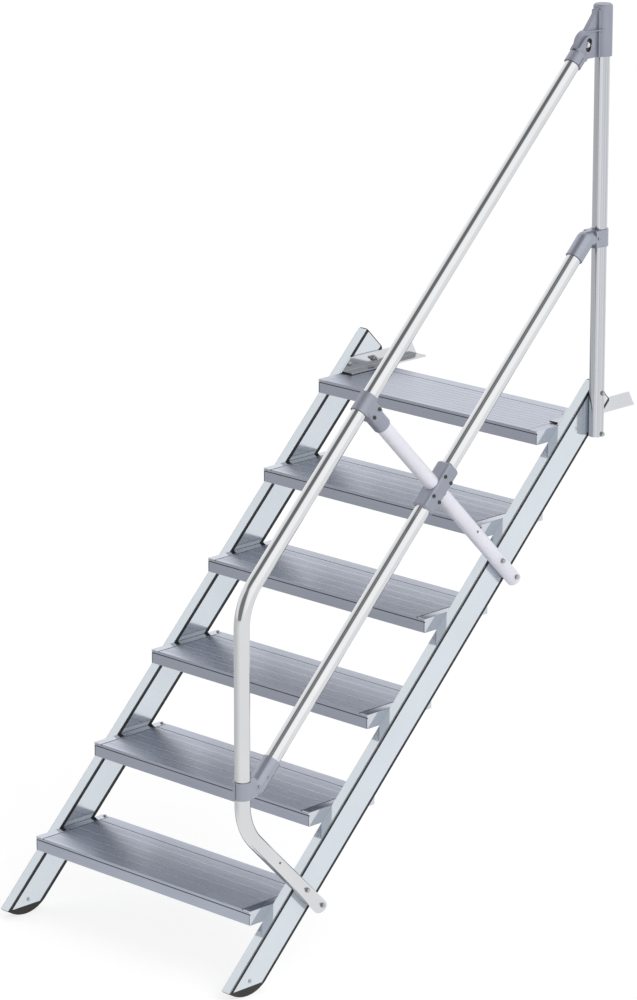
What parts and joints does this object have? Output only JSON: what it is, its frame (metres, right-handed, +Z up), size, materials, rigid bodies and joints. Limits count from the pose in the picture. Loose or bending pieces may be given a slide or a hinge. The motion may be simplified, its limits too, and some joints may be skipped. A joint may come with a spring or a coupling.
{
  "type": "stair flight",
  "caption": "Straight open-riser aluminium stair flight with ribbed treads between hollow stringers, a tubular handrail on the right side and angle brackets that rest on a landing.",
  "frame": {"origin": "centre of the underside of the right top bracket's flat leg, where it rests on the landing, level with the top tread", "axes": "+Z up, +Y up the flight towards the landing, +X to the right when climbing"},
  "size_m": [0.9056, 1.559, 2.3705],
  "materials": {
    "stringer_aluminium": "smooth polished",
    "tread_aluminium": "ribbed, satin",
    "tread_end_aluminium": "smooth polished",
    "bracket_aluminium": "smooth polished",
    "rail_aluminium": "bright drawn tube",
    "brace_aluminium": "matt pale",
    "fitting_casting": "cast, satin grey",
    "dark_plastic": "matt black",
    "foot_rubber": "matt black",
    "fastener_steel": "zinc plated"
  },
  "bodies": {
    "root": {"brace_cross_fitting": "fitting_casting", "brace_lower_tube": "brace_aluminium", "brace_top_clamp": "fitting_casting", "brace_upper_tube": "brace_aluminium", "foot_left": "foot_rubber", "foot_right": "foot_rubber", "handrail_tube": "rail_aluminium", "knee_rail_clamps": "fitting_casting", "knee_rail_tube": "rail_aluminium", "post_cap": "fitting_casting", "post_tube": "rail_aluminium", "rail_end_socket": "fitting_casting", "stringer_cap_left": "dark_plastic", "stringer_cap_right": "dark_plastic", "stringer_left": "stringer_aluminium", "stringer_right": "stringer_aluminium", "top_bracket_left": "bracket_aluminium", "top_bracket_right": "bracket_aluminium", "tread_1": "tread_aluminium", "tread_1_end_angles": "tread_end_aluminium", "tread_2": "tread_aluminium", "tread_2_end_angles": "tread_end_aluminium", "tread_3": "tread_aluminium", "tread_3_end_angles": "tread_end_aluminium", "tread_4": "tread_aluminium", "tread_4_end_angles": "tread_end_aluminium", "tread_5": "tread_aluminium", "tread_5_end_angles": "tread_end_aluminium", "tread_6": "tread_aluminium", "tread_6_end_angles": "tread_end_aluminium"}
  },
  "joints": []
}
